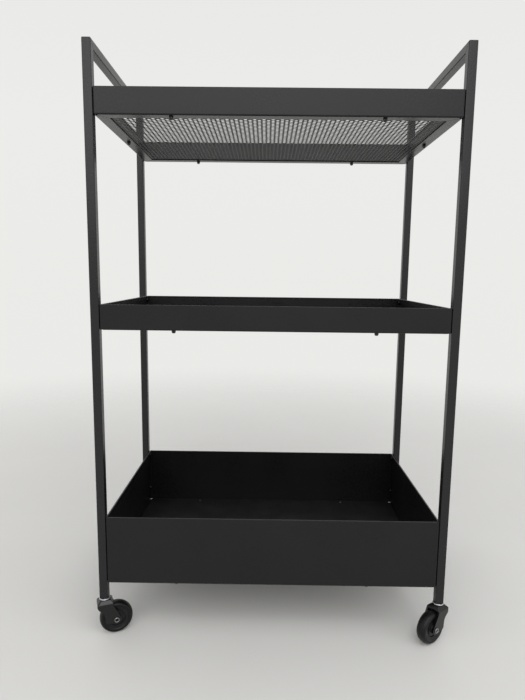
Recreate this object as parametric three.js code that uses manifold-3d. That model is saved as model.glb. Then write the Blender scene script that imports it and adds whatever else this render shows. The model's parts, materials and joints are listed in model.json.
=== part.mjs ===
// Three-tier steel utility trolley on four swivel casters.
// Millimetres, +Z up, +X right, +Y to the back. Origin: floor level, under the centre of the trolley.
import * as THREE from 'three';
import { mergeVertices } from 'three/addons/utils/BufferGeometryUtils.js';
import Module from 'manifold-3d';

const wasm = await Module();
wasm.setup();

// ---------------------------------------------------------------- driving dimensions
const WIDTH = 505;              // outside of one side frame to the outside of the other
const DEPTH = 300;              // front of the legs to the back of the legs
const HEIGHT = 830;             // floor to the top of the handle bars
const TUBE = 12;                // square tube, outside
const TUBE_WALL = 1.0;
const LEG_BOTTOM = 58;          // lower end of the legs
const PLUG_LENGTH = 30;         // welded-in socket for the caster stem
const SHEET = 1.0;              // tray sheet thickness
const TRAY_GAP = 0.3;           // tray side wall to leg
const CORNER_R = 2.5;           // bend radius at the trays' upright corners, outside
const HEM_THICK = 2.2;          // folded rim
const HEM_HEIGHT = 2.6;
const FLANGE = 17;              // inward bottom flange, from the tray's outside
const TRAYS = [                 // name, underside, rim
  { name: 'top', z0: 736, z1: 771 },
  { name: 'middle', z0: 455, z1: 490 },
  { name: 'bottom', z0: 83, z1: 184 },
];
const FLOOR_GAP = 0.1;          // shelf floor to the flange that carries it
const FLOOR_THICK = 0.8;
const FLOOR_MARGIN = 0.6;       // shelf floor to the tray's inner wall
const FIELD_HX = 223;           // load-bearing field of a shelf floor, inside the flange and its pegs
const FIELD_HY = 132.8;
const PEG_X = 140;              // front and rear pegs
const PEG_Y = 142;
const PEG_SIDE_X = 231.5;       // pegs in the middle of the side flanges
const PEG_HOLE_R = 2.5;
const PEG_SHANK_R = 2.15;
const PEG_HEAD_R = 4.5;
const PEG_HEAD_T = 1.4;
const PEG_TIP_R = 2.9;
const PEG_TIP_L = 4.0;
const SCREW_BELOW_RIM = 7.5;
const SCREW_LOW_Z = 109.5;      // second row of screws, deep tray only
const SCREW_HOLE_R = 2.6;
const SCREW_SHANK_R = 2.2;
const SCREW_HEAD_R = 4.0;
const SCREW_HEAD_T = 2.8;
const SCREW_REACH = 10.5;       // shank length from the underside of its head

// caster, about its own swivel axis: X along the trail, Z up from the floor
const WHEEL_R = 24;
const WHEEL_W = 15;
const TRAIL = 15.8;
const STEM_R = 4.0;
const STEM_HOLE_R = 4.3;
const STEM_TOP = 86;
const COLLAR_R = 8.0;
const COLLAR_Z = [55.7, 57.7];
const KINGPIN_R = 3.5;
const KINGPIN_HEAD_R = 4.4;
const KINGPIN_HEAD_Z = [47.2, 48.9];
const CROWN_TOP = 55.4;
const CROWN_BACK = 11.3;        // square crown, from the swivel axis to its back and its front
const CROWN_FRONT = 11.4;
const CROWN_CORNER = 2.0;
const FORK_HALF = 11.2;         // outside of the fork arms
const FORK_INNER = 8.4;         // inside of the fork arms
const WHEEL_SPACE_R = 25.2;
const AXLE_R = 2.5;
const AXLE_HOLE_R = 2.8;
const AXLE_HEAD_R = 3.9;
const AXLE_HEAD_T = 1.5;
const CASTERS = [               // name, side, front or rear, direction of the trail in degrees
  { name: 'front_left', x: -1, y: -1, phi: 21.0 },
  { name: 'front_right', x: 1, y: -1, phi: 215.5 },
  { name: 'rear_left', x: -1, y: 1, phi: 35.5 },
  { name: 'rear_right', x: 1, y: 1, phi: 201.0 },
];

const LEG_X = WIDTH / 2 - TUBE / 2;     // leg centres
const LEG_Y = DEPTH / 2 - TUBE / 2;
const TRAY_HX = WIDTH / 2 - TUBE - TRAY_GAP;
const TRAY_HY = DEPTH / 2;

// ---------------------------------------------------------------- materials
const mat = (color, roughness, metalness) => () => new THREE.MeshStandardMaterial({ color, roughness, metalness });
const powderCoat = mat(0x26262a, 0.55, 0.25);
const powderFloor = mat(0x1d1d1f, 0.6, 0.25);
const blackPlastic = mat(0x131314, 0.45, 0.0);
const wheelPlastic = mat(0x19191a, 0.6, 0.0);
const zinc = mat(0xb9bcc0, 0.28, 1.0);
const darkScrew = mat(0x3a3a3d, 0.4, 0.8);

// ---------------------------------------------------------------- solids
function closed(geometry) {
  // one closed triangle mesh with shared vertices, no slivers on the axis, faces pointing out
  const g = geometry.clone();
  g.deleteAttribute('normal');
  g.deleteAttribute('uv');
  const m = mergeVertices(g, 1e-4);
  const p = m.attributes.position.array;
  const src = m.index.array;
  const tri = [];
  for (let i = 0; i < src.length; i += 3) {
    const [a, b, c] = [src[i], src[i + 1], src[i + 2]];
    if (a !== b && b !== c && c !== a) tri.push(a, b, c);
  }
  let volume = 0;
  for (let i = 0; i < tri.length; i += 3) {
    const [a, b, c] = [tri[i] * 3, tri[i + 1] * 3, tri[i + 2] * 3];
    volume += p[a] * (p[b + 1] * p[c + 2] - p[b + 2] * p[c + 1])
      + p[a + 1] * (p[b + 2] * p[c] - p[b] * p[c + 2])
      + p[a + 2] * (p[b] * p[c + 1] - p[b + 1] * p[c]);
  }
  if (volume < 0) for (let i = 0; i < tri.length; i += 3) [tri[i + 1], tri[i + 2]] = [tri[i + 2], tri[i + 1]];
  const out = new THREE.BufferGeometry();
  out.setAttribute('position', new THREE.Float32BufferAttribute(Array.from(p), 3));
  out.setIndex(tri);
  return out;
}
function solid(geometry) {
  const g = closed(geometry);
  return new wasm.Manifold(new wasm.Mesh({
    numProp: 3,
    vertProperties: new Float32Array(g.attributes.position.array),
    triVerts: new Uint32Array(g.index.array),
  }));
}
function geometryOf(manifold) {
  const mesh = manifold.getMesh();
  const n = mesh.numProp;
  const pos = [];
  for (let i = 0; i < mesh.vertProperties.length; i += n) {
    pos.push(mesh.vertProperties[i], mesh.vertProperties[i + 1], mesh.vertProperties[i + 2]);
  }
  const g = new THREE.BufferGeometry();
  g.setAttribute('position', new THREE.Float32BufferAttribute(pos, 3));
  g.setIndex(Array.from(mesh.triVerts));
  g.computeVertexNormals();
  return g;
}
const box = (x0, x1, y0, y1, z0, z1) =>
  new THREE.BoxGeometry(x1 - x0, y1 - y0, z1 - z0).translate((x0 + x1) / 2, (y0 + y1) / 2, (z0 + z1) / 2);
const rodZ = (r, z0, z1, x = 0, y = 0, seg = 8) =>
  new THREE.CylinderGeometry(r, r, z1 - z0, seg).rotateX(Math.PI / 2).rotateZ(Math.PI / seg).translate(x, y, (z0 + z1) / 2);
const rodX = (r, x0, x1, y, z, seg = 8) =>
  new THREE.CylinderGeometry(r, r, x1 - x0, seg).rotateZ(Math.PI / 2).translate((x0 + x1) / 2, y, z);
const rodY = (r, y0, y1, x, z, seg = 8) =>
  new THREE.CylinderGeometry(r, r, y1 - y0, seg).translate(x, (y0 + y1) / 2, z);

function roundedRect(hx, hy, r) {
  const s = new THREE.Shape();
  s.moveTo(hx, -hy + r);
  s.lineTo(hx, hy - r);
  s.absarc(hx - r, hy - r, r, 0, Math.PI / 2, false);
  s.lineTo(-hx + r, hy);
  s.absarc(-hx + r, hy - r, r, Math.PI / 2, Math.PI, false);
  s.lineTo(-hx, -hy + r);
  s.absarc(-hx + r, -hy + r, r, Math.PI, Math.PI * 1.5, false);
  s.lineTo(hx - r, -hy);
  s.absarc(hx - r, -hy + r, r, Math.PI * 1.5, Math.PI * 2, false);
  return s;
}
const slab = (hx, hy, r, z0, z1) =>
  new THREE.ExtrudeGeometry(roundedRect(hx, hy, r), { depth: z1 - z0, bevelEnabled: false, curveSegments: 2 }).translate(0, 0, z0);
const turned = (points, seg) => // profile of [radius, height] pairs, turned about Z
  new THREE.LatheGeometry(points.map(([r, h]) => new THREE.Vector2(r, h)), seg).rotateX(Math.PI / 2);

const trolley = new THREE.Group();
function add(parent, name, geometry, material) {
  const mesh = new THREE.Mesh(geometry, material());
  mesh.name = name;
  parent.add(mesh);
  return mesh;
}

// ---------------------------------------------------------------- screw and peg positions
const screwHeights = (tray) => (tray.name === 'bottom' ? [tray.z1 - SCREW_BELOW_RIM, SCREW_LOW_Z] : [tray.z1 - SCREW_BELOW_RIM]);
const allScrewHeights = TRAYS.flatMap(screwHeights);
const PEGS = [
  ['front_left', -PEG_X, -PEG_Y], ['front_right', PEG_X, -PEG_Y],
  ['rear_left', -PEG_X, PEG_Y], ['rear_right', PEG_X, PEG_Y],
  ['side_left', -PEG_SIDE_X, 0], ['side_right', PEG_SIDE_X, 0],
];

// ---------------------------------------------------------------- side frames
// An inverted U of square tube: two legs and the handle bar, welded at mitred corners,
// with a bored socket welded into the foot of each leg for the caster's stem.
function sideFrame(side) {
  const xc = side * LEG_X;
  const h = TUBE / 2;
  const i = h - TUBE_WALL;
  let body = solid(box(xc - h, xc + h, -DEPTH / 2, -DEPTH / 2 + TUBE, LEG_BOTTOM, HEIGHT))
    .add(solid(box(xc - h, xc + h, DEPTH / 2 - TUBE, DEPTH / 2, LEG_BOTTOM, HEIGHT)))
    .add(solid(box(xc - h, xc + h, -DEPTH / 2, DEPTH / 2, HEIGHT - TUBE, HEIGHT)));
  let hollow = solid(box(xc - i, xc + i, -LEG_Y - i, -LEG_Y + i, LEG_BOTTOM + PLUG_LENGTH, HEIGHT - TUBE_WALL))
    .add(solid(box(xc - i, xc + i, LEG_Y - i, LEG_Y + i, LEG_BOTTOM + PLUG_LENGTH, HEIGHT - TUBE_WALL)))
    .add(solid(box(xc - i, xc + i, -LEG_Y - i, LEG_Y + i, HEIGHT - TUBE + TUBE_WALL, HEIGHT - TUBE_WALL)));
  body = body.subtract(hollow);
  for (const y of [-LEG_Y, LEG_Y]) {
    body = body.subtract(solid(rodZ(STEM_HOLE_R, LEG_BOTTOM - 2, LEG_BOTTOM + PLUG_LENGTH + 2, xc, y, 12)));
    for (const z of allScrewHeights) {
      const xin = side * (LEG_X - h);
      body = body.subtract(solid(rodX(SCREW_HOLE_R, Math.min(xin - side, xin + side * 2), Math.max(xin - side, xin + side * 2), y, z)));
    }
  }
  return geometryOf(body);
}
add(trolley, 'left_side_frame', sideFrame(-1), powderCoat);
add(trolley, 'right_side_frame', sideFrame(1), powderCoat);

// ---------------------------------------------------------------- trays, shelf floors, pegs and screws
for (const tray of TRAYS) {
  const { name, z0, z1 } = tray;
  let body = solid(slab(TRAY_HX, TRAY_HY, CORNER_R, z0, z1))
    .subtract(solid(slab(TRAY_HX - SHEET, TRAY_HY - SHEET, CORNER_R - SHEET, z0 + SHEET, z1 + 1)));
  const hem = solid(slab(TRAY_HX - 0.4, TRAY_HY - 0.4, CORNER_R - 0.4, z1 - HEM_HEIGHT, z1))
    .subtract(solid(slab(TRAY_HX - HEM_THICK, TRAY_HY - HEM_THICK, 0.6, z1 - HEM_HEIGHT - 1, z1 + 1)));
  body = body.add(hem).subtract(solid(slab(TRAY_HX - FLANGE, TRAY_HY - FLANGE, 1.5, z0 - 1, z0 + SHEET + 1)));
  for (const [, x, y] of PEGS) body = body.subtract(solid(rodZ(PEG_HOLE_R, z0 - 1, z0 + SHEET + 1, x, y)));
  for (const z of screwHeights(tray)) {
    for (const y of [-LEG_Y, LEG_Y]) {
      body = body.subtract(solid(rodX(SCREW_HOLE_R, -TRAY_HX - 1, -TRAY_HX + 2, y, z)));
      body = body.subtract(solid(rodX(SCREW_HOLE_R, TRAY_HX - 2, TRAY_HX + 1, y, z)));
    }
  }
  add(trolley, `${name}_tray`, geometryOf(body), powderCoat);

  const f0 = z0 + SHEET + FLOOR_GAP;
  const f1 = f0 + FLOOR_THICK;
  const fx = TRAY_HX - SHEET - FLOOR_MARGIN;
  const fy = TRAY_HY - SHEET - FLOOR_MARGIN;
  let floor = solid(slab(fx, fy, 1.5, f0, f1));
  for (const [, x, y] of PEGS) floor = floor.subtract(solid(rodZ(PEG_HOLE_R, f0 - 1, f1 + 1, x, y)));
  // the plain margin carries the pegs; the field between them is one flat face of its own
  floor = floor.subtract(solid(box(-FIELD_HX, FIELD_HX, -FIELD_HY, FIELD_HY, f0 - 1, f1 + 1)))
    .add(solid(box(-FIELD_HX, FIELD_HX, -FIELD_HY, FIELD_HY, f0, f1)));
  add(trolley, `${name}_shelf_floor`, geometryOf(floor), powderFloor);

  // push-in pegs: flat round head on the floor, shank through floor and flange, spread tip below
  const headZ = f1 + 0.1;
  for (const [where, x, y] of PEGS) {
    const peg = closed(turned([
      [0, z0 - 0.1 - PEG_TIP_L], [PEG_TIP_R * 0.55, z0 - 0.1 - PEG_TIP_L], [PEG_TIP_R, z0 - 1.3],
      [PEG_TIP_R, z0 - 0.1], [PEG_SHANK_R, z0 - 0.1], [PEG_SHANK_R, headZ],
      [PEG_HEAD_R, headZ], [PEG_HEAD_R * 0.7, headZ + PEG_HEAD_T], [0, headZ + PEG_HEAD_T],
    ], 8));
    peg.computeVertexNormals();
    const mesh = add(trolley, `${name}_peg_${where}`, peg, blackPlastic);
    mesh.position.set(x, y, 0);
  }

  // button-head screws from inside the tray, through its side wall into the leg
  screwHeights(tray).forEach((z, row) => {
    const rowName = tray.name === 'bottom' ? ['_upper', '_lower'][row] : '';
    for (const side of [-1, 1]) {
      for (const [where, y] of [['front', -LEG_Y], ['rear', LEG_Y]]) {
        const screw = closed(turned([
          [0, 0], [SCREW_HEAD_R * 0.62, 0], [SCREW_HEAD_R, SCREW_HEAD_T * 0.72], [SCREW_HEAD_R, SCREW_HEAD_T],
          [SCREW_SHANK_R, SCREW_HEAD_T], [SCREW_SHANK_R, SCREW_HEAD_T + SCREW_REACH], [0, SCREW_HEAD_T + SCREW_REACH],
        ], 8));
        screw.computeVertexNormals();
        const mesh = add(trolley, `${name}_screw${rowName}_${where}_${side < 0 ? 'left' : 'right'}`, screw, darkScrew);
        mesh.rotation.y = side * Math.PI / 2;      // head end inside the tray, tip into the leg
        mesh.position.set(side * (TRAY_HX - SHEET - 0.1 - SCREW_HEAD_T), y, z);
      }
    }
  });
}

// ---------------------------------------------------------------- casters
// Stem with its collar and riveted kingpin: one turned steel piece, fixed in the leg.
function stem() {
  return closed(turned([
    [0, KINGPIN_HEAD_Z[0]], [KINGPIN_HEAD_R, KINGPIN_HEAD_Z[0]], [KINGPIN_HEAD_R, KINGPIN_HEAD_Z[1]],
    [KINGPIN_R, KINGPIN_HEAD_Z[1]], [KINGPIN_R, COLLAR_Z[0]], [COLLAR_R, COLLAR_Z[0]],
    [COLLAR_R, COLLAR_Z[0] + 1.2], [COLLAR_R - 1.0, COLLAR_Z[1]], [STEM_R, COLLAR_Z[1]],
    [STEM_R, STEM_TOP - 1.5], [STEM_R - 1.2, STEM_TOP], [0, STEM_TOP],
  ], 12));
}
// Fork: moulded crown and two broad arms that reach back and down to the axle.
function fork() {
  const side = new THREE.Shape();
  side.moveTo(-CROWN_BACK, CROWN_TOP - 1.2);
  side.lineTo(-CROWN_BACK, 46.6);
  side.lineTo(-8.9, 42.8);
  side.lineTo(-4.6, 39.4);
  side.lineTo(-2.0, 35.2);
  side.lineTo(-1.0, 29.0);
  side.lineTo(-0.6, 22.4);
  side.lineTo(1.8, 20.2);
  side.lineTo(11.6, 18.6);
  side.absarc(TRAIL, WHEEL_R, 6.8, Math.PI * 1.28, Math.PI * 2.14, false);
  side.lineTo(CROWN_FRONT, 47.5);
  side.lineTo(CROWN_FRONT, CROWN_TOP - 1.4);
  side.lineTo(CROWN_FRONT - 1.4, CROWN_TOP);
  side.lineTo(-CROWN_BACK + 1.2, CROWN_TOP);
  side.closePath();
  const slice = new THREE.ExtrudeGeometry(side, { depth: 2 * FORK_HALF, bevelEnabled: false, curveSegments: 10 })
    .rotateX(Math.PI / 2).translate(0, FORK_HALF, 0);
  const plan = new THREE.Shape();
  const bx = CROWN_BACK - CROWN_CORNER;
  const by = FORK_HALF - CROWN_CORNER;
  plan.moveTo(26, -FORK_HALF);
  plan.lineTo(26, FORK_HALF);
  plan.lineTo(-bx, FORK_HALF);
  plan.absarc(-bx, by, CROWN_CORNER, Math.PI / 2, Math.PI, false);
  plan.lineTo(-CROWN_BACK, -by);
  plan.absarc(-bx, -by, CROWN_CORNER, Math.PI, Math.PI * 1.5, false);
  plan.closePath();
  const outline = new THREE.ExtrudeGeometry(plan, { depth: 60, bevelEnabled: false, curveSegments: 4 });
  let body = solid(slice).intersect(solid(outline));
  body = body.subtract(solid(rodY(WHEEL_SPACE_R, -FORK_INNER, FORK_INNER, TRAIL, WHEEL_R, 32)));
  body = body.subtract(solid(rodZ(KINGPIN_R + 0.35, 40, 60, 0, 0, 12)));
  body = body.subtract(solid(rodZ(KINGPIN_HEAD_R + 0.5, 41.2, KINGPIN_HEAD_Z[1] + 0.3, 0, 0, 12)));
  body = body.subtract(solid(rodY(AXLE_HOLE_R, -20, 20, TRAIL, WHEEL_R, 12)));
  return geometryOf(body);
}
// Axle: hollow steel rivet, its two curled ends outside the fork arms.
function axle() {
  const e = FORK_HALF + 0.15;
  const t = e + AXLE_HEAD_T;
  const g = closed(turned([
    [0, -t + 0.9], [2.0, -t], [AXLE_HEAD_R - 0.8, -t], [AXLE_HEAD_R, -e],
    [AXLE_R, -e], [AXLE_R, e],
    [AXLE_HEAD_R, e], [AXLE_HEAD_R - 0.8, t], [2.0, t], [0, t - 0.9],
  ], 10));
  return closed(g.rotateX(Math.PI / 2).translate(TRAIL, 0, WHEEL_R));
}
// Wheel: moulded in one piece with its tread, bored for the axle, dished on both faces.
function wheel() {
  const w = WHEEL_W / 2;
  const half = [
    [AXLE_HOLE_R, w + 0.4], [6.4, w + 0.4], [7.0, w - 1.6], [17.4, w - 1.6], [18.8, w],
    [WHEEL_R - 3.0, w], [WHEEL_R - 0.8, w - 2.2], [WHEEL_R, w - 4.8],
  ];
  const ring = [...half, ...half.map(([r, h]) => [r, -h]).reverse()];
  ring.push(ring[0]);
  const g = closed(turned(ring, 24));
  return closed(g.rotateX(Math.PI / 2).translate(TRAIL, 0, WHEEL_R));
}
for (const c of CASTERS) {
  const caster = new THREE.Group();
  caster.position.set(c.x * LEG_X, c.y * LEG_Y, 0);
  caster.rotation.z = THREE.MathUtils.degToRad(c.phi);
  trolley.add(caster);
  for (const [piece, g, material] of [['stem', stem(), zinc], ['fork', fork(), blackPlastic], ['axle', axle(), zinc], ['wheel', wheel(), wheelPlastic]]) {
    g.computeVertexNormals();
    add(caster, `caster_${piece}_${c.name}`, g, material);
  }
}

export default trolley;
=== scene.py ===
import json
import math
import bpy
import bmesh
from mathutils import Matrix, Vector
from mathutils.geometry import tessellate_polygon


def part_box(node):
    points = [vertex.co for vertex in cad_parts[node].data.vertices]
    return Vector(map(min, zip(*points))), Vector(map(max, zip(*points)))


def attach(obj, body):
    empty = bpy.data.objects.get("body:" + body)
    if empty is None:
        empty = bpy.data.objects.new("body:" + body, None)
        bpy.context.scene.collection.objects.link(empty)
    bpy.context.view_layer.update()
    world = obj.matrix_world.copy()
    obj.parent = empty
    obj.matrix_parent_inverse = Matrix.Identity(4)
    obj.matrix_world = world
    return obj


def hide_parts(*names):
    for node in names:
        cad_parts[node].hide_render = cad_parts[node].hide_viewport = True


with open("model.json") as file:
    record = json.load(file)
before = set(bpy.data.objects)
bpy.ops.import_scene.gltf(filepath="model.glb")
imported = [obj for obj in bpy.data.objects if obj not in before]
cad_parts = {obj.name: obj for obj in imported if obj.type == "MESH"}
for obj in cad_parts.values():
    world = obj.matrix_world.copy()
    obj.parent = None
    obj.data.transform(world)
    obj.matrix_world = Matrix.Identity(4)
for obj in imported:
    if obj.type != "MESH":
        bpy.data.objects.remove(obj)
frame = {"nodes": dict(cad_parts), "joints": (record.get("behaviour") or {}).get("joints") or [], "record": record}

# Three-tier steel trolley on four swivel casters. Lengths in this file are millimetres unless a name says otherwise.
MM = 0.001
TAU = math.tau
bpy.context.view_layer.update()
BODY_OF = {n: b for b, ns in frame["record"]["behaviour"]["bodies"].items() for n in ns}
NODES = frame["nodes"]


def mm_box(node):
    lo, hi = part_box(node)
    return [c / MM for c in lo], [c / MM for c in hi]


# ================================================================ materials
class Nodes:
    """A small helper around one material's node tree."""

    def __init__(self, name):
        self.mat = bpy.data.materials.new(name)
        self.mat.use_nodes = True
        self.nt = self.mat.node_tree
        self.nt.nodes.clear()
        self.out = self.nt.nodes.new("ShaderNodeOutputMaterial")
        self.bsdf = self.nt.nodes.new("ShaderNodeBsdfPrincipled")
        self.nt.links.new(self.bsdf.outputs[0], self.out.inputs[0])
        self.coord = self.nt.nodes.new("ShaderNodeTexCoord").outputs["Object"]

    def link(self, a, b):
        self.nt.links.new(a, b)

    def set(self, **values):
        for key, v in values.items():
            self.bsdf.inputs[key.replace("_", " ")].default_value = v

    def noise(self, scale, detail=2.0, rough=0.5, distortion=0.0, vector=None):
        n = self.nt.nodes.new("ShaderNodeTexNoise")
        n.inputs["Scale"].default_value = scale
        n.inputs["Detail"].default_value = detail
        n.inputs["Roughness"].default_value = rough
        n.inputs["Distortion"].default_value = distortion
        self.link(vector or self.coord, n.inputs["Vector"])
        return n.outputs["Fac"]

    def stretch(self, x, y, z):
        m = self.nt.nodes.new("ShaderNodeMapping")
        m.inputs["Scale"].default_value = (x, y, z)
        self.link(self.coord, m.inputs["Vector"])
        return m.outputs["Vector"]

    def ramp(self, fac, stops):
        r = self.nt.nodes.new("ShaderNodeValToRGB")
        el = r.color_ramp.elements
        while len(el) < len(stops):
            el.new(0.5)
        for e, (p, c) in zip(el, stops):
            e.position = p
            e.color = (*c, 1.0) if len(c) == 3 else c
        self.link(fac, r.inputs[0])
        return r.outputs[0]

    def span(self, fac, a, b, lo, hi):
        m = self.nt.nodes.new("ShaderNodeMapRange")
        m.inputs["From Min"].default_value = a
        m.inputs["From Max"].default_value = b
        m.inputs["To Min"].default_value = lo
        m.inputs["To Max"].default_value = hi
        self.link(fac, m.inputs["Value"])
        return m.outputs["Result"]

    def math(self, op, a, b=None, c=None):
        m = self.nt.nodes.new("ShaderNodeMath")
        m.operation = op
        for i, v in enumerate((a, b, c)):
            if v is None:
                continue
            if isinstance(v, (int, float)):
                m.inputs[i].default_value = v
            else:
                self.link(v, m.inputs[i])
        return m.outputs[0]

    def mix(self, fac, a, b, blend="MIX"):
        m = self.nt.nodes.new("ShaderNodeMix")
        m.data_type = "RGBA"
        m.blend_type = blend
        for key, v in ((0, fac), (6, a), (7, b)):
            if isinstance(v, (int, float)):
                m.inputs[key].default_value = v
            elif isinstance(v, tuple):
                m.inputs[key].default_value = (*v, 1.0)
            else:
                self.link(v, m.inputs[key])
        return m.outputs[2]

    def facing_up(self):
        g = self.nt.nodes.new("ShaderNodeNewGeometry")
        s = self.nt.nodes.new("ShaderNodeSeparateXYZ")
        self.link(g.outputs["Normal"], s.inputs[0])
        return s.outputs["Z"]

    def bump(self, height, strength, distance, normal=None):
        b = self.nt.nodes.new("ShaderNodeBump")
        b.inputs["Strength"].default_value = strength
        b.inputs["Distance"].default_value = distance
        self.link(height, b.inputs["Height"])
        if normal:
            self.link(normal, b.inputs["Normal"])
        return b.outputs["Normal"]


def powder(name, base, rough=(0.36, 0.5), grain=1.0, dust=0.25):
    """Baked powder coat: a satin film with fine orange peel, faint thickness variation and a trace of dust on top faces."""
    n = Nodes(name)
    broad = n.noise(9.0, 3.0)
    fine = n.noise(420.0, 2.0)
    speck = n.noise(2600.0, 1.0)
    dark = tuple(c * 0.86 for c in base)
    light = tuple(c * 1.16 for c in base)
    col = n.ramp(broad, [(0.32, dark), (0.68, light)])
    col = n.mix(n.span(speck, 0.35, 0.7, 0.0, 0.3), col, tuple(c * 1.5 for c in base))
    up = n.span(n.facing_up(), 0.75, 1.0, 0.0, dust)
    patch = n.span(n.noise(34.0, 4.0, 0.6), 0.42, 0.68, 0.0, 1.0)
    col = n.mix(n.math("MULTIPLY", up, patch), col, (0.055, 0.053, 0.05))
    n.link(col, n.bsdf.inputs["Base Color"])
    r = n.span(fine, 0.3, 0.7, rough[0], rough[1])
    r = n.math("ADD", r, n.span(broad, 0.3, 0.7, -0.03, 0.03))
    n.link(r, n.bsdf.inputs["Roughness"])
    peel = n.math("ADD", n.math("MULTIPLY", fine, 1.0), n.math("MULTIPLY", speck, 0.35))
    n.link(n.bump(peel, 0.28 * grain, 0.0002), n.bsdf.inputs["Normal"])
    n.set(Metallic=0.0)
    n.bsdf.inputs["Specular IOR Level"].default_value = 0.5
    return n.mat


def plastic(name, base, rough=(0.28, 0.4), bump=0.12, scale=900.0, flow=0.0):
    """Moulded plastic: fine spark-eroded grain, broad tone variation and faint lighter scuffs."""
    n = Nodes(name)
    broad = n.noise(60.0, 3.0)
    fine = n.noise(scale, 2.0)
    col = n.ramp(broad, [(0.3, tuple(c * 0.8 for c in base)), (0.7, tuple(c * 1.25 for c in base))])
    scuff = n.span(n.noise(140.0, 5.0, 0.65, 0.6), 0.6, 0.72, 0.0, 0.35)
    col = n.mix(scuff, col, tuple(min(1.0, c * 2.2 + 0.01) for c in base))
    n.link(col, n.bsdf.inputs["Base Color"])
    n.link(n.span(fine, 0.3, 0.7, rough[0], rough[1]), n.bsdf.inputs["Roughness"])
    n.link(n.bump(fine, bump, 0.0002), n.bsdf.inputs["Normal"])
    return n.mat


def tread(name, base):
    """Polyurethane tread: matt, dusty on the running face, with fine scuffs round the rim."""
    n = Nodes(name)
    fine = n.noise(1500.0, 3.0)
    dirt = n.noise(220.0, 5.0, 0.65)
    col = n.ramp(n.noise(90.0, 3.0), [(0.3, tuple(c * 0.85 for c in base)), (0.7, tuple(c * 1.2 for c in base))])
    col = n.mix(n.span(dirt, 0.5, 0.72, 0.0, 0.5), col, tuple(c * 2.4 + 0.008 for c in base))
    n.link(col, n.bsdf.inputs["Base Color"])
    n.link(n.span(dirt, 0.3, 0.7, 0.34, 0.5), n.bsdf.inputs["Roughness"])
    n.link(n.bump(fine, 0.2, 0.0003), n.bsdf.inputs["Normal"])
    return n.mat


def metal(name, base, rough=(0.2, 0.34), brush=(60.0, 60.0, 1400.0), bump=0.1):
    """Bright zinc plate: fine turning marks, slight cloudiness."""
    n = Nodes(name)
    marks = n.noise(1.0, 3.0, 0.6, 0.0, n.stretch(*brush))
    cloud = n.noise(260.0, 3.0)
    col = n.ramp(cloud, [(0.3, tuple(c * 0.82 for c in base)), (0.7, tuple(min(1.0, c * 1.08) for c in base))])
    n.link(col, n.bsdf.inputs["Base Color"])
    n.link(n.span(marks, 0.3, 0.7, rough[0], rough[1]), n.bsdf.inputs["Roughness"])
    n.link(n.bump(marks, bump, 0.0001), n.bsdf.inputs["Normal"])
    n.set(Metallic=1.0)
    return n.mat


COAT_FRAME = powder("coat_frame", (0.0068, 0.0068, 0.0078), (0.25, 0.36))
COAT_TRAY = powder("coat_tray", (0.0055, 0.0055, 0.006), (0.27, 0.38))
COAT_FLOOR = powder("coat_floor", (0.006, 0.006, 0.0064), (0.44, 0.56), dust=0.1)
PEG_PLASTIC = plastic("peg_nylon", (0.009, 0.009, 0.0095), (0.2, 0.32))
FORK_PLASTIC = plastic("fork_plastic", (0.003, 0.003, 0.0032), (0.14, 0.25), 0.06, 700.0)
DISC_PLASTIC = plastic("wheel_disc_plastic", (0.006, 0.006, 0.0064), (0.26, 0.4), 0.12, 1100.0)
HUB_PLASTIC = plastic("wheel_hub_plastic", (0.003, 0.003, 0.0034), (0.3, 0.42))
TREAD = tread("wheel_tread", (0.0028, 0.0028, 0.003))
ZINC = metal("zinc_plate", (0.62, 0.63, 0.65))
RIVET = metal("rivet_dull_zinc", (0.28, 0.28, 0.29), (0.3, 0.45))
SCREW_STEEL = metal("screw_black_oxide", (0.02, 0.02, 0.022), (0.22, 0.36), (900.0, 900.0, 900.0), 0.06)
for m, level in ((FORK_PLASTIC, 0.42), (HUB_PLASTIC, 0.2), (DISC_PLASTIC, 0.28), (TREAD, 0.26), (PEG_PLASTIC, 0.5), (COAT_FLOOR, 0.3), (COAT_TRAY, 0.28), (COAT_FRAME, 0.36)):
    m.node_tree.nodes["Principled BSDF"].inputs["Specular IOR Level"].default_value = level


# ================================================================ mesh helpers
def finish_mesh(ob, angle=32.0):
    me = ob.data
    for p in me.polygons:
        p.use_smooth = True
    me.set_sharp_from_angle(angle=math.radians(angle))
    me.update()


def from_lists(name, verts, faces, mats, which=None, angle=32.0):
    me = bpy.data.meshes.new(name)
    me.from_pydata([(x * MM, y * MM, z * MM) for x, y, z in verts], [], faces)
    for m in mats:
        me.materials.append(m)
    if which:
        for p, w in zip(me.polygons, which):
            p.material_index = w
    me.update()
    ob = bpy.data.objects.new(name, me)
    bpy.context.scene.collection.objects.link(ob)
    bm = bmesh.new()
    bm.from_mesh(me)
    bmesh.ops.recalc_face_normals(bm, faces=bm.faces)
    bm.to_mesh(me)
    bm.free()
    finish_mesh(ob, angle)
    return ob


def chain(loops, closed_chain=False, cap_start=False, cap_end=False):
    """Joins a list of equal-length closed loops of points with quads."""
    n = len(loops[0])
    verts = [p for loop in loops for p in loop]
    faces = []
    count = len(loops)
    for k in range(count if closed_chain else count - 1):
        a, b = k * n, ((k + 1) % count) * n
        for i in range(n):
            j = (i + 1) % n
            faces.append((a + i, a + j, b + j, b + i))
    if cap_start:
        faces.append(tuple(reversed(range(n))))
    if cap_end:
        faces.append(tuple(range((count - 1) * n, count * n)))
    return verts, faces


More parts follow.
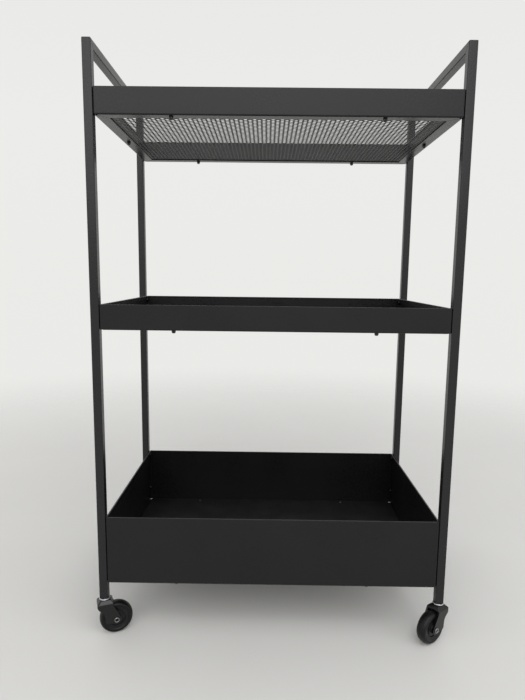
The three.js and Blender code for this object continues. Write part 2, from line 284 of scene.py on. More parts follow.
def lathe(profile, seg=48, shape=None, closed_profile=False):
    """Turns [radius, height] pairs about Z. A radius of 0 is a pole. shape(radius, height, angle) may give another radius."""
    verts, faces, rings = [], [], []
    for r, h in profile:
        if r <= 1e-9:
            rings.append([len(verts)])
            verts.append((0.0, 0.0, h))
        else:
            ring = []
            for i in range(seg):
                a = TAU * i / seg
                rr = shape(r, h, a) if shape else r
                ring.append(len(verts))
                verts.append((rr * math.cos(a), rr * math.sin(a), h))
            rings.append(ring)
    spans = []
    pairs = list(zip(rings, rings[1:]))
    if closed_profile:
        pairs.append((rings[-1], rings[0]))
    for k, (a, b) in enumerate(pairs):
        for i in range(seg):
            j = (i + 1) % seg
            if len(a) == 1 and len(b) == 1:
                continue
            if len(a) == 1:
                faces.append((a[0], b[i], b[j]))
            elif len(b) == 1:
                faces.append((a[i], b[0], a[j]))
            else:
                faces.append((a[i], b[i], b[j], a[j]))
            spans.append(k)
    return verts, faces, spans


def moved(verts, matrix):
    return [tuple(matrix @ Vector(v)) for v in verts]


def rounded(points, r, seg=4):
    """Rounds the corners of a closed polygon of (x, y) points. r may be one radius or one for each point."""
    out = []
    n = len(points)
    for i in range(n):
        ri = r[i] if isinstance(r, (list, tuple)) else r
        p = Vector(points[i])
        a = Vector(points[i - 1])
        b = Vector(points[(i + 1) % n])
        u, v = (a - p).normalized(), (b - p).normalized()
        ang = u.angle(v)
        if ri <= 1e-6 or abs(ang - math.pi) < 1e-3:
            out.append(tuple(p))
            continue
        t = min(ri / math.tan(ang / 2), 0.49 * (a - p).length, 0.49 * (b - p).length)
        rr = t * math.tan(ang / 2)
        c = p + (u + v).normalized() * (rr / math.sin(ang / 2))
        s, e = p + u * t, p + v * t
        a0 = math.atan2(s.y - c.y, s.x - c.x)
        a1 = math.atan2(e.y - c.y, e.x - c.x)
        d = (a1 - a0 + math.pi) % TAU - math.pi
        for k in range(seg + 1):
            w = a0 + d * k / seg
            out.append((c.x + rr * math.cos(w), c.y + rr * math.sin(w)))
    return out


def prism(points, z0, z1):
    n = len(points)
    verts = [(x, y, z0) for x, y in points] + [(x, y, z1) for x, y in points]
    faces = [tuple(reversed(range(n))), tuple(range(n, 2 * n))]
    faces += [(i, (i + 1) % n, n + (i + 1) % n, n + i) for i in range(n)]
    return verts, faces


def rod(radius, length, seg=24):
    return prism([(radius * math.cos(TAU * i / seg), radius * math.sin(TAU * i / seg)) for i in range(seg)], -length / 2, length / 2)


def merged(parts):
    verts, faces = [], []
    for v, f in parts:
        k = len(verts)
        verts += v
        faces += [tuple(i + k for i in face) for face in f]
    return verts, faces


def cut(ob, cutter, operation="DIFFERENCE"):
    """Applies one exact boolean with a throwaway mesh."""
    verts, faces = cutter
    me = bpy.data.meshes.new("cutter")
    me.from_pydata([(x * MM, y * MM, z * MM) for x, y, z in verts], [], faces)
    bm = bmesh.new()
    bm.from_mesh(me)
    bmesh.ops.recalc_face_normals(bm, faces=bm.faces)
    bm.to_mesh(me)
    bm.free()
    tool = bpy.data.objects.new("cutter", me)
    bpy.context.scene.collection.objects.link(tool)
    mod = ob.modifiers.new("cut", "BOOLEAN")
    mod.operation = operation
    mod.solver = "EXACT"
    mod.object = tool
    apply_modifiers(ob)
    bpy.data.objects.remove(tool)
    bpy.data.meshes.remove(me)


def apply_modifiers(ob):
    bpy.context.view_layer.update()
    deps = bpy.context.evaluated_depsgraph_get()
    me = bpy.data.meshes.new_from_object(ob.evaluated_get(deps), preserve_all_data_layers=True, depsgraph=deps)
    old = ob.data
    ob.modifiers.clear()
    ob.data = me
    bpy.data.meshes.remove(old)
    me.name = ob.name


def bevel(ob, width, segments=2, angle=30.0):
    mod = ob.modifiers.new("bevel", "BEVEL")
    mod.width = width * MM
    mod.segments = segments
    mod.limit_method = "ANGLE"
    mod.angle_limit = math.radians(angle)
    mod.harden_normals = False
    mod.miter_outer = "MITER_ARC"
    mod.use_clamp_overlap = True
    apply_modifiers(ob)


def place(ob, node, flat_faces=True):
    """The piece stands for its CAD node and moves with that node's body.
    Its normals follow its large faces, so that a flat face stays flat up to its rounded edges."""
    if flat_faces:
        mod = ob.modifiers.new("weighted", "WEIGHTED_NORMAL")
        mod.mode = "FACE_AREA"
        mod.weight = 50
        mod.keep_sharp = True
        apply_modifiers(ob)
    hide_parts(node)
    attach(ob, BODY_OF[node])
    return ob


# ================================================================ side frames
WIDTH, DEPTH, HEIGHT, TUBE = 505.0, 300.0, 830.0, 12.0
LEG_X, LEG_Y, BAR_Z = WIDTH / 2 - TUBE / 2, DEPTH / 2 - TUBE / 2, HEIGHT - TUBE / 2
FOOT, SOCKET_TOP, SOCKET_R = 58.0, 88.0, 4.3
TRAYS = [("top", 736.0, 771.0), ("middle", 455.0, 490.0), ("bottom", 83.0, 184.0)]
SCREW_ROWS = {"top": [763.5], "middle": [482.5], "bottom": [176.5, 109.5]}
SEG = 4                                   # segments in each rounded tube corner


def square_loop(half, r):
    """Section points (a, b) of a rounded square, starting half way round the first corner's arc."""
    return rounded([(half, -half), (half, half), (-half, half), (-half, -half)], r, SEG)


def side_frame(side):
    name = "left_side_frame" if side < 0 else "right_side_frame"
    xc = side * LEG_X
    outer = square_loop(TUBE / 2, 1.25)
    inner = square_loop(TUBE / 2 - 1.0, 0.5)
    n = len(outer)
    angles = [math.atan2(b, a) for a, b in outer]

    def shrunk(loop, by):
        h = TUBE / 2
        return [(a * (h - by) / h, b * (h - by) / h) for a, b in loop]

    def leg(loop, z, s):                  # s -1 the front leg, +1 the rear leg; b points away from the inside of the U
        return [(xc + a, s * (LEG_Y + b), z) for a, b in loop]

    def joint(loop, s, along_leg=0.0, along_bar=0.0):
        return [(xc + a, s * (LEG_Y + b - along_bar), BAR_Z + b - along_leg) for a, b in loop]

    # the mitre is welded and dressed: a shallow line left in the film
    groove = shrunk(outer, 0.16)

    def weld(s):
        rows = [joint(outer, s, 3.0, 0), joint(outer, s, 0.42, 0), joint(groove, s), joint(outer, s, 0, 0.42), joint(outer, s, 0, 3.0)]
        return rows if s < 0 else rows[::-1]

    loops = [leg(shrunk(outer, 0.45), FOOT, -1), leg(outer, FOOT + 0.45, -1), leg(outer, 300, -1), leg(outer, 620, -1)]
    loops += weld(-1)
    loops += [joint(outer, -1, 0, LEG_Y)]
    loops += weld(1)
    loops += [leg(outer, 620, 1), leg(outer, 300, 1), leg(outer, FOOT + 0.45, 1), leg(shrunk(outer, 0.45), FOOT, 1)]
    ring = [(SOCKET_R * math.cos(t), SOCKET_R * math.sin(t)) for t in angles]
    ring_out = [((SOCKET_R + 0.4) * math.cos(t), (SOCKET_R + 0.4) * math.sin(t)) for t in angles]
    loops += [leg(ring_out, FOOT, 1), leg(ring, FOOT + 0.4, 1), leg(ring, SOCKET_TOP, 1), leg(inner, SOCKET_TOP, 1)]
    loops += [joint(inner, 1), joint(inner, -1)]
    loops += [leg(inner, SOCKET_TOP, -1), leg(ring, SOCKET_TOP, -1), leg(ring, FOOT + 0.4, -1), leg(ring_out, FOOT, -1)]
    verts, faces = chain(loops, closed_chain=True)
    ob = from_lists(name + "_tube", verts, faces, [COAT_FRAME])
    holes = []
    for z in [z for rows in SCREW_ROWS.values() for z in rows]:
        for y in (-LEG_Y, LEG_Y):
            v, f = rod(2.6, 6.0, 20)
            m = Matrix.Translation((xc - side * (TUBE / 2), y, z)) @ Matrix.Rotation(math.pi / 2, 4, "Y")
            holes.append((moved(v, m), f))
    cut(ob, merged(holes))
    finish_mesh(ob, 28)
    return place(ob, name)


side_frame(-1)
side_frame(1)

# ================================================================ trays
SHEET, FLANGE, CORNER = 1.0, 17.0, 2.5
THX, THY = 240.2, 150.0
PEGS = [("front_left", -140.0, -142.0), ("front_right", 140.0, -142.0), ("rear_left", -140.0, 142.0),
        ("rear_right", 140.0, 142.0), ("side_left", -231.5, 0.0), ("side_right", 231.5, 0.0)]


def rect_loop(d, seg=6):
    """The tray's outline moved inward by d."""
    hx, hy = THX - d, THY - d
    r = max(CORNER - d, 0.22)
    pts = rounded([(hx, -hy), (hx, hy), (-hx, hy), (-hx, -hy)], r, seg)
    return pts


def arc(cx, cy, r, a0, a1, n):
    return [(cx + r * math.cos(math.radians(a0 + (a1 - a0) * k / n)), cy + r * math.sin(math.radians(a0 + (a1 - a0) * k / n))) for k in range(n + 1)]


def tray(name, z0, z1):
    bend, inside = 2.0, 1.0
    prof = []                                                   # (distance inward from the outer face, height)
    prof += [(0.0, z0 + bend + 8)]
    prof += [(0.0, z1 - 6), (0.0, z1 - 0.6)]
    prof += arc(0.6, z1 - 0.6, 0.6, 180, 90, 5)[1:]             # pressed hem
    prof += arc(1.6, z1 - 0.6, 0.6, 90, 0, 5)
    prof += [(2.2, z1 - 2.2)] + arc(1.75, z1 - 2.2, 0.45, 0, -90, 3)[1:]
    prof += [(1.12, z1 - 2.62), (1.0, z1 - 2.9)]
    prof += [(1.0, z0 + bend + 6)]
    prof += arc(1.0 + inside, z0 + 1.0 + inside, inside, 180, 270, 4)
    prof += [(FLANGE - 0.5, z0 + 1.0)] + arc(FLANGE - 0.5, z0 + 0.5, 0.5, 90, -90, 4)[1:]
    prof += [(bend + 5, z0)] + arc(bend, z0 + bend, bend, 270, 180, 6)
    loops = [[(x, y, z) for x, y in rect_loop(d)] for d, z in prof]
    verts, faces = chain(loops, closed_chain=True)
    ob = from_lists(f"{name}_tray_sheet", verts, faces, [COAT_TRAY])
    tools = []
    for sx in (-1, 1):
        for sy in (-1, 1):
            # mitre slit of the flange and the round relief where the two bends meet
            q = FLANGE + 3
            cx, cy = sx * (THX - (2.6 + q) / 2), sy * (THY - (2.6 + q) / 2)
            length = (q - 2.6) * math.sqrt(2)
            v, f = prism([(-length / 2, -0.35), (length / 2, -0.35), (length / 2, 0.35), (-length / 2, 0.35)], z0 - 1, z0 + 1.35)
            m = Matrix.Translation((cx, cy, 0)) @ Matrix.Rotation(math.atan2(sy, sx), 4, "Z")
            tools.append((moved(v, m), f))
    cut(ob, merged(tools))
    tools = []
    for sx in (-1, 1):
        for sy in (-1, 1):
            v, f = rod(2.45, 3.8, 24)
            tools.append((moved(v, Matrix.Translation((sx * (THX - 3.1), sy * (THY - 3.1), z0 + 0.3))), f))
    for _, x, y in PEGS:
        v, f = rod(2.5, 4.0, 24)
        tools.append((moved(v, Matrix.Translation((x, y, z0)), ), f))
    for z in SCREW_ROWS[name]:
        for y in (-LEG_Y, LEG_Y):
            for sx in (-1, 1):
                v, f = rod(2.6, 4.0, 24)
                tools.append((moved(v, Matrix.Translation((sx * THX, y, z)) @ Matrix.Rotation(math.pi / 2, 4, "Y")), f))
    cut(ob, merged(tools))
    finish_mesh(ob, 28)
    return place(ob, f"{name}_tray")


# ================================================================ perforated shelf floors
PITCH, HOLE_R = 7.16, 2.65
COL = PITCH * math.sqrt(3) / 2
FHX, FHY = 238.6, 148.4


def shelf_floor(name, z0, perforated):
    lo, hi = z0 + 1.4, z0 + 1.9
    cols = 35 if perforated else -1
    key = {}
    flat = []                                                   # unique points of the top face, (x, y)

    def point(x, y):
        k = (round(x * 50), round(y * 50))
        if k not in key:
            key[k] = len(flat)
            flat.append((x, y))
        return key[k]

    top = []                                                    # faces of the top side
    holes = []                                                  # each hole's points in order
    edges = {}
    hex_r = PITCH / math.sqrt(3)
    for c in range(-cols, cols + 1):
        odd = c % 2
        rows = 18
        ys = [(j + 0.5) * PITCH for j in range(-rows, rows)] if odd else [j * PITCH for j in range(-rows, rows + 1)]
        for y in ys:
            x = c * COL
            corner = [point(x + hex_r * math.cos(math.radians(60 * i)), y + hex_r * math.sin(math.radians(60 * i))) for i in range(6)]
            first = len(flat)
            rim = []
            for i in range(12):
                a = math.radians(30 * i)
                rim.append(len(flat))
                flat.append((x + HOLE_R * math.cos(a), y + HOLE_R * math.sin(a)))
            holes.append(rim)
            for i in range(6):
                a, b = corner[i], corner[(i + 1) % 6]
                r0, r1, r2 = rim[2 * i], rim[2 * i + 1], rim[(2 * i + 2) % 12]
                top += [(a, r1, r0), (a, b, r1), (b, r2, r1)]
                e = (b, a)
                if e in edges:
                    del edges[e]
                else:
                    edges[(a, b)] = True
    # the ragged edge of the perforated field, as one ordered loop
    follow = {a: b for a, b in edges}
    ragged = []
    at = start = next(iter(follow), None)
    while perforated:
        ragged.append(at)
        at = follow[at]
        if at == start:
            break
    # plain margin: outline with cropped corners, the field's edge and the peg holes
    crop = 5.2
    outline = []
    for x, y in rounded([(FHX, -FHY + crop), (FHX, FHY - crop), (FHX - crop, FHY), (-FHX + crop, FHY), (-FHX, FHY - crop),
                         (-FHX, -FHY + crop), (-FHX + crop, -FHY), (FHX - crop, -FHY)], 0.6, 2):
        outline.append(len(flat))
        flat.append((x, y))
    peg_rims = []
    for _, px, py in PEGS:
        rim = []
        for i in range(20):
            a = TAU * i / 20
            rim.append(len(flat))
            flat.append((px + 2.5 * math.cos(a), py + 2.5 * math.sin(a)))
        peg_rims.append(rim)
    groups = [outline] + ([ragged] if perforated else []) + peg_rims
    order = [i for g in groups for i in g]
    for a, b, c in tessellate_polygon([[Vector((*flat[i], 0.0)) for i in g] for g in groups]):
        top.append((order[a], order[b], order[c]))

    def area(t):
        (x0, y0), (x1, y1), (x2, y2) = (flat[i] for i in t)
        return (x1 - x0) * (y2 - y0) - (x2 - x0) * (y1 - y0)

    top = [t if area(t) > 0 else (t[0], t[2], t[1]) for t in top if abs(area(t)) > 1e-9]
    n = len(flat)
    verts = [(x, y, hi) for x, y in flat] + [(x, y, lo) for x, y in flat]
    faces = list(top) + [(n + a, n + c, n + b) for a, b, c in top]
    for rim in holes + peg_rims:
        m = len(rim)
        for i in range(m):
            a, b = rim[i], rim[(i + 1) % m]
            faces.append((a, b, n + b, n + a))
    m = len(outline)
    for i in range(m):
        a, b = outline[i], outline[(i + 1) % m]
        faces.append((b, a, n + a, n + b))
    ob = from_lists(f"{name}_{'perforated' if perforated else 'plain'}_floor", verts, faces, [COAT_FLOOR], angle=40)
    return place(ob, f"{name}_shelf_floor", False)


# ================================================================ pegs
def peg(name, z0, x, y):
    """Push rivet: domed head with its drive pin sunk in it, four spread petals below the flange."""
    top = z0 + 2.0
    head = [(0.0, top + 1.02), (1.5, top + 1.02), (1.72, top + 0.86), (1.9, top + 0.86), (2.05, top + 1.30), (2.5, top + 1.4),
            (3.3, top + 1.28), (4.05, top + 0.85), (4.42, top + 0.42), (4.5, top + 0.18), (4.38, top + 0.0), (2.15, top)]
    low = z0 - 0.1
    tip = [(2.15, low), (2.75, low - 0.05), (2.9, low - 0.35), (2.9, low - 1.5), (2.78, low - 2.4), (2.45, low - 3.3), (2.05, low - 3.8), (1.75, low - 4.0),
           (1.3, low - 3.92), (1.12, low - 3.55), (0.95, low - 3.3), (0.75, low - 3.42), (0.0, low - 3.5)]

    def petals(r, h, a):
        if h > low - 0.2 or r < 1.6:
            return r
        k = abs(((a + TAU / 8) % (TAU / 4)) - TAU / 8)
        return r - (0.75 if k < 0.05 else 0.0)

    verts, faces, _ = lathe(head + tip, 48, petals)
    verts = moved(verts, Matrix.Translation((x, y, 0)))
    ob = from_lists(f"{name}_push_rivet", verts, faces, [PEG_PLASTIC], angle=38)
    return place(ob, name)


# ================================================================ screws
def screw(node, side, y, z):
    """Button head with a hexagon socket, rolled thread on the shank."""
    seg = 36
    head_t, shank = 2.8, 2.2

    def hexed(r, h, a):
        if h > head_t + 5:                 # has no effect
            pass
        return r

    prof = [(0.0, 1.55, 0), (1.15, 1.5, 1), (1.25, 1.4, 1), (1.25, 0.28, 1), (1.42, 0.06, 1), (1.75, 0.0, 0), (2.35, 0.08, 0), (3.0, 0.42, 0), (3.5, 0.95, 0),
            (3.84, 1.7, 0), (3.98, 2.35, 0), (4.0, 2.6, 0), (3.85, 2.8, 0), (2.25, 2.8, 0)]
    h = head_t + 0.7
    while h < head_t + 9.3:
        prof += [(1.88, h, 0), (2.2, h + 0.27, 0), (2.2, h + 0.43, 0), (1.88, h + 0.7, 0)]
        h += 0.8
    prof += [(1.85, head_t + 9.9, 0), (1.3, head_t + 10.5, 0), (0.0, head_t + 10.5, 0)]
    verts, faces, rings = [], [], []
    for r, hh, six in prof:
        if r == 0:
            rings.append([len(verts)])
            verts.append((0, 0, hh))
            continue
        ring = []
        for i in range(seg):
            a = TAU * i / seg
            rr = r / math.cos(((a + TAU / 12) % (TAU / 6)) - TAU / 12) if six else r
            ring.append(len(verts))
            verts.append((rr * math.cos(a), rr * math.sin(a), hh))
        rings.append(ring)
    for a, b in zip(rings, rings[1:]):
        for i in range(seg):
            j = (i + 1) % seg
            if len(a) == 1:
                faces.append((a[0], b[i], b[j]))
            elif len(b) == 1:
                faces.append((a[i], b[0], a[j]))
            else:
                faces.append((a[i], b[i], b[j], a[j]))
    m = Matrix.Translation((side * (THX - SHEET - 0.1 - head_t), y, z)) @ Matrix.Rotation(side * math.pi / 2, 4, "Y")
    ob = from_lists(f"{node}_button_head", moved(verts, m), faces, [SCREW_STEEL], angle=34)
    return place(ob, node)


for name, z0, z1 in TRAYS:
    tray(name, z0, z1)
    shelf_floor(name, z0, name != "bottom")
    for where, x, y in PEGS:
        peg(f"{name}_peg_{where}", z0, x, y)
    for row, z in enumerate(SCREW_ROWS[name]):
        rowname = "" if name != "bottom" else ("_upper" if row == 0 else "_lower")
        for ys, yn in ((-1, "front"), (1, "rear")):
            for xs, xn in ((-1, "left"), (1, "right")):
                screw(f"{name}_screw{rowname}_{yn}_{xn}", xs, ys * LEG_Y, z)

# ================================================================ casters
TRAIL, WHEEL_R, WHEEL_W = 15.8, 24.0, 15.0
FORK_HALF, FORK_INNER, CROWN_TOP, CROWN_BACK, CROWN_FRONT = 11.2, 8.4, 55.4, 11.3, 11.4
CORNERS = {}
for corner in ("front_left", "front_right", "rear_left", "rear_right"):
    joint = next(j for j in frame["joints"] if j["name"] == f"swivel_{corner}")
    roll = next(j for j in frame["joints"] if j["name"] == f"roll_{corner}")
    (lx, ly, _), (hx, hy, _) = mm_box(f"caster_stem_{corner}")
    (wx, wy, _), (vx, vy, _) = mm_box(f"caster_wheel_{corner}")
    cx, cy = (lx + hx) / 2, (ly + hy) / 2
    phi = math.atan2((wy + vy) / 2 - cy, (wx + vx) / 2 - cx)
    CORNERS[corner] = Matrix.Translation((cx, cy, 0)) @ Matrix.Rotation(phi, 4, "Z")


def caster_stem(corner, m):
    prof = [(0.0, 46.9), (1.6, 46.95), (2.9, 47.25), (3.9, 47.6), (4.35, 48.1), (4.4, 48.6), (4.2, 48.9), (3.5, 48.9), (3.5, 55.7), (7.4, 55.7), (7.85, 55.95),
            (8.0, 56.4), (8.0, 56.9), (7.8, 57.35), (7.3, 57.7), (4.3, 57.7), (4.0, 58.0), (4.0, 66.0), (3.75, 66.4), (3.75, 67.6), (4.0, 68.0),
            (4.0, 78.0), (3.75, 78.4), (3.75, 79.6), (4.0, 80.0), (4.0, 84.6), (3.4, 85.6), (2.8, 86.0), (0.0, 86.0)]
    prof = [(r, max(h, 47.2)) for r, h in prof]
    prof = [p for i, p in enumerate(prof) if i == 0 or p != prof[i - 1]]
    verts, faces, _ = lathe(prof, 48)
    ob = from_lists(f"caster_stem_{corner}_plated", moved(verts, m), faces, [ZINC], angle=30)
    return place(ob, f"caster_stem_{corner}")


FORK_MESH = None


def caster_fork(corner, m):
    global FORK_MESH
    if FORK_MESH is None:
        side = [(-CROWN_BACK, CROWN_TOP - 1.2)]
        side += rounded([(-CROWN_BACK, CROWN_TOP - 1.2), (-CROWN_BACK, 46.6), (-8.9, 42.8), (-4.6, 39.4), (-2.0, 35.2), (-1.0, 29.0), (-0.6, 22.4), (1.8, 20.2), (11.6, 18.6)],
                        [0, 2.0, 5.0, 4.0, 6.0, 6.0, 1.6, 2.0, 0], 2)[1:]
        for k in range(17):
            a = math.pi * (1.28 + (2.14 - 1.28) * k / 16)
            side.append((TRAIL + 6.8 * math.cos(a), WHEEL_R + 6.8 * math.sin(a)))
        side += [(CROWN_FRONT, 47.5), (CROWN_FRONT, CROWN_TOP - 1.4), (CROWN_FRONT - 1.4, CROWN_TOP), (-CROWN_BACK + 1.2, CROWN_TOP)]
        v, f = prism(side, -FORK_HALF, FORK_HALF)
        v = [(x, y, z) for x, z, y in v]
        ob = from_lists("fork_blank", v, f, [FORK_PLASTIC])

        def plan(inset, front):
            h, b = FORK_HALF - inset, CROWN_BACK - inset
            return rounded([(front, -h), (front, h), (-b, h), (-b, -h)], [0.8, 0.8, 2.0, 2.0], 4)

        # the crown's shoulder slopes away towards the back, the sides and a little towards the front
        drop = 6.0
        loft = [[(x, y, z) for x, y in plan(0, front)] for z, front in ((0.0, 26), (47.2, 26), (47.9, CROWN_FRONT + 0.5), (CROWN_TOP - drop, CROWN_FRONT + 0.3))]
        for gone, z in ((0.12, 50.1), (0.42, 50.8), (0.95, 51.45), (4.1, 54.4), (4.7, 54.85), (5.4, 55.2), (6.2, CROWN_TOP)):
            loft.append([(x, y, z) for x, y in plan(gone, CROWN_FRONT + 0.3 - 0.7 * gone)])
        cut(ob, chain(loft, cap_start=True, cap_end=True), "INTERSECT")
        v, f = rod(25.2, 2 * FORK_INNER, 72)
        cut(ob, (moved(v, Matrix.Translation((TRAIL, 0, WHEEL_R)) @ Matrix.Rotation(math.pi / 2, 4, "X")), f))
        bm = bmesh.new()
        bm.from_mesh(ob.data)
        bmesh.ops.remove_doubles(bm, verts=bm.verts, dist=1e-6)
        bmesh.ops.dissolve_limit(bm, angle_limit=math.radians(0.5), verts=bm.verts, edges=bm.edges)
        bm.to_mesh(ob.data)
        bm.free()
        bevel(ob, 0.8, 3, 32)
        holes = []
        v, f = rod(3.85, 20, 32)
        holes.append((moved(v, Matrix.Translation((0, 0, 50))), f))
        cut(ob, merged(holes))
        v, f = rod(4.9, 8.0, 32)
        cut(ob, (moved(v, Matrix.Translation((0, 0, 45.2))), f))
        v, f = rod(2.8, 40, 32)
        cut(ob, (moved(v, Matrix.Translation((TRAIL, 0, WHEEL_R)) @ Matrix.Rotation(math.pi / 2, 4, "X")), f))
        finish_mesh(ob, 30)
        FORK_MESH = ob.data
        bpy.data.objects.remove(ob)
    me = FORK_MESH.copy()
    me.transform(Matrix.Scale(1, 4))
    t = m.copy()
    t.translation *= MM
    me.transform(t)
    ob = bpy.data.objects.new(f"caster_fork_{corner}_moulded", me)
    bpy.context.scene.collection.objects.link(ob)
    return place(ob, f"caster_fork_{corner}")


def caster_axle(corner, m):
    e = FORK_HALF + 0.15
    half = [(2.5, 0.0), (2.5, e), (3.55, e), (3.85, e + 0.3), (3.9, e + 0.7), (3.75, e + 1.1), (3.45, e + 1.4), (3.1, e + 1.5), (2.7, e + 1.4), (2.4, e + 1.1),
            (2.2, e + 0.5), (2.05, e - 1.0)]
    prof = half + [(2.05, 0.0)] + [(r, -h) for r, h in reversed(half)][:-1]
    verts, faces, _ = lathe(prof, 40, closed_profile=True)
    t = m @ Matrix.Translation((TRAIL, 0, WHEEL_R)) @ Matrix.Rotation(math.pi / 2, 4, "X")
    ob = from_lists(f"caster_axle_{corner}_tubular_rivet", moved(verts, t), faces, [RIVET], angle=30)
    return place(ob, f"caster_axle_{corner}")


def caster_wheel(corner, m):
    w = WHEEL_W / 2
    # (radius, distance from the centre plane, material of the span that starts here): 0 hub, 1 disc, 2 tread
    half = [(2.8, 0.0, 0), (2.8, w + 0.1, 0), (3.05, w + 0.4, 0), (5.9, w + 0.4, 0), (6.35, w + 0.15, 0), (6.6, w - 0.6, 0), (6.9, w - 1.35, 1), (7.4, w - 1.6, 1),
            (9.9, w - 1.6, 1), (10.3, w - 1.9, 1), (10.6, w - 3.0, 1), (12.7, w - 3.0, 1), (13.0, w - 1.9, 1), (13.4, w - 1.6, 1), (16.5, w - 1.5, 1), (17.0, w - 1.2, 1),
            (17.5, w - 0.45, 1), (17.9, w - 0.08, 1), (18.4, w, 1), (18.85, w - 0.12, 1),
            (19.0, w - 0.5, 1), (19.15, w - 0.5, 2), (19.3, w - 0.12, 2), (19.7, w, 2), (20.9, w - 0.02, 2), (21.75, w - 0.5, 2), (22.5, w - 1.4, 2), (23.1, w - 2.4, 2),
            (23.55, w - 3.6, 2), (23.85, w - 5.0, 2), (24.0, w - 6.4, 2)]
    prof = [(r, h) for r, h, _ in half] + [(24.0, 0.0)] + [(r, -h) for r, h, _ in reversed(half)][:-1]
    mats = [k for _, _, k in half] + [k for _, _, k in reversed(half)]
    verts, faces, spans = lathe(prof, 72, closed_profile=True)
    n = len(half)
    which = []
    for s in spans:
        if s < n:
            which.append(half[s][2])
        else:
            back = 2 * n - 1 - s
            which.append(half[max(0, min(n - 1, back))][2])
    t = m @ Matrix.Translation((TRAIL, 0, WHEEL_R)) @ Matrix.Rotation(math.pi / 2, 4, "X")
    ob = from_lists(f"caster_wheel_{corner}_moulded", moved(verts, t), faces, [HUB_PLASTIC, DISC_PLASTIC, TREAD], which, angle=30)
    return place(ob, f"caster_wheel_{corner}")


for corner, m in CORNERS.items():
    caster_stem(corner, m)
    caster_fork(corner, m)
    caster_axle(corner, m)
    caster_wheel(corner, m)

# ================================================================ stage, light and camera
def stage_material():
    """Plain pale paper that melts into the studio's backdrop with distance from the object."""
    n = Nodes("stage_paper")
    n.link(n.ramp(n.noise(3.0, 2.0), [(0.3, (0.65, 0.645, 0.63)), (0.7, (0.67, 0.665, 0.65))]), n.bsdf.inputs["Base Color"])
    n.set(Roughness=0.7)
    n.bsdf.inputs["Specular IOR Level"].default_value = 0.2
    length = n.nt.nodes.new("ShaderNodeVectorMath")
    length.operation = "LENGTH"
    n.link(n.coord, length.inputs[0])
    far = n.nt.nodes.new("ShaderNodeMapRange")
    far.interpolation_type = "SMOOTHSTEP"
    far.inputs["From Min"].default_value = 0.5
    far.inputs["From Max"].default_value = 2.3
    n.link(length.outputs["Value"], far.inputs["Value"])
    clear = n.nt.nodes.new("ShaderNodeBsdfTransparent")
    mix = n.nt.nodes.new("ShaderNodeMixShader")
    n.link(far.outputs["Result"], mix.inputs[0])
    n.link(n.bsdf.outputs[0], mix.inputs[1])
    n.link(clear.outputs[0], mix.inputs[2])
    n.link(mix.outputs[0], n.out.inputs[0])
    return n.mat


floor_mesh = bpy.data.meshes.new("studio_floor")
R = 3.0
floor_mesh.from_pydata([(R * math.cos(TAU * i / 64), R * math.sin(TAU * i / 64), 0.0) for i in range(64)], [], [tuple(range(64))])
floor_mesh.materials.append(stage_material())
studio_floor = bpy.data.objects.new("studio_floor", floor_mesh)
bpy.context.scene.collection.objects.link(studio_floor)

world = bpy.data.worlds.new("studio")
world.use_nodes = True
wt = world.node_tree
bg = wt.nodes["Background"]
direction = wt.nodes.new("ShaderNodeTexCoord").outputs["Generated"]
split = wt.nodes.new("ShaderNodeSeparateXYZ")
wt.links.new(direction, split.inputs[0])
rise = wt.nodes.new("ShaderNodeMapRange")
rise.inputs["From Min"].default_value = -1.0
rise.inputs["From Max"].default_value = 1.0
wt.links.new(split.outputs["Z"], rise.inputs["Value"])
tone = wt.nodes.new("ShaderNodeValToRGB")
stops = [(0.0, (0.80, 0.80, 0.785)), (0.5, (0.83, 0.83, 0.81)), (0.62, (0.84, 0.84, 0.825)), (0.8, (0.80, 0.80, 0.79)), (1.0, (0.55, 0.55, 0.56))]
while len(tone.color_ramp.elements) < len(stops):
    tone.color_ramp.elements.new(0.5)
for e, (at, c) in zip(tone.color_ramp.elements, stops):
    e.position = at
    e.color = (*c, 1.0)
wt.links.new(rise.outputs["Result"], tone.inputs[0])
wt.links.new(tone.outputs[0], bg.inputs[0])
bg.inputs[1].default_value = 1.0
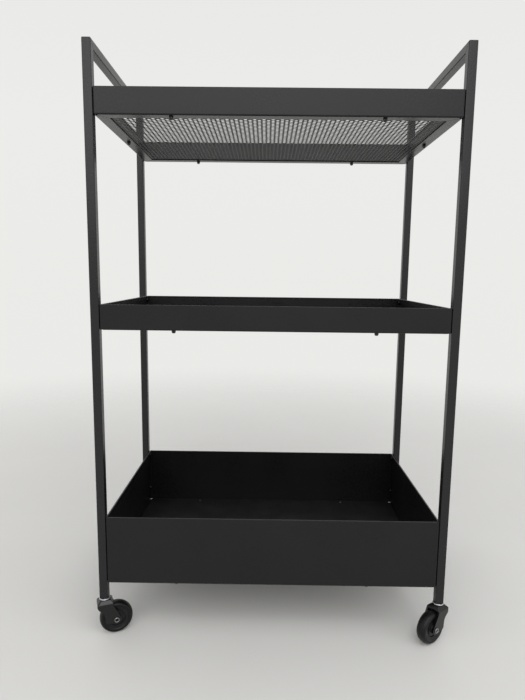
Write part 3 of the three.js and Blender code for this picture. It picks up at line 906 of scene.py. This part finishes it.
bpy.context.scene.world = world


def softbox(name, at, target, size, power, colour=(1.0, 1.0, 1.0)):
    light = bpy.data.lights.new(name, "AREA")
    light.shape = "RECTANGLE"
    light.size, light.size_y = size
    light.energy = power
    light.color = colour
    ob = bpy.data.objects.new(name, light)
    bpy.context.scene.collection.objects.link(ob)
    ob.location = at
    ob.rotation_mode = "QUATERNION"
    ob.rotation_quaternion = (Vector(target) - Vector(at)).to_track_quat("-Z", "Y")
    ob.visible_camera = False
    return ob


softbox("key", (-0.4, -2.6, 1.75), (0, 0, 0.6), (3.4, 1.5), 30.0, (1.0, 0.995, 0.98))
softbox("fill", (2.4, -1.4, 1.5), (0, 0, 0.4), (1.4, 1.4), 8.0, (0.97, 0.985, 1.0))
softbox("top", (0.0, 0.2, 2.6), (0, 0, 0.4), (1.6, 1.6), 5.0)
softbox("edge", (0.3, -1.3, 2.1), (-0.2, -0.15, 0.05), (1.6, 0.9), 12.0)

cam_data = bpy.data.cameras.new("camera")
cam = bpy.data.objects.new("camera", cam_data)
bpy.context.scene.collection.objects.link(cam)
cam_data.lens = 36.0 * 539.371 / 700.0
cam_data.sensor_width = 36.0
cam_data.dof.use_dof = False
pitch, yaw, roll = (math.radians(v) for v in (7.999, 0.382, -0.656))
cy, sy, cp, sp, cr, sr = math.cos(yaw), math.sin(yaw), math.cos(pitch), math.sin(pitch), math.cos(roll), math.sin(roll)
turn = (Matrix(((cy, -sy, 0), (sy, cy, 0), (0, 0, 1))) @ Matrix(((1, 0, 0), (0, cp, sp), (0, -sp, cp))) @ Matrix(((cr, 0, sr), (0, 1, 0), (-sr, 0, cr))))
right, ahead, above = turn.col[0], turn.col[1], turn.col[2]
cam.matrix_world = Matrix(((right.x, above.x, -ahead.x, -0.011996), (right.y, above.y, -ahead.y, -0.882644),
                           (right.z, above.z, -ahead.z, 0.533120), (0, 0, 0, 1)))
bpy.context.scene.camera = cam
bpy.context.scene.view_settings.view_transform = "Standard"

bpy.context.view_layer.update()
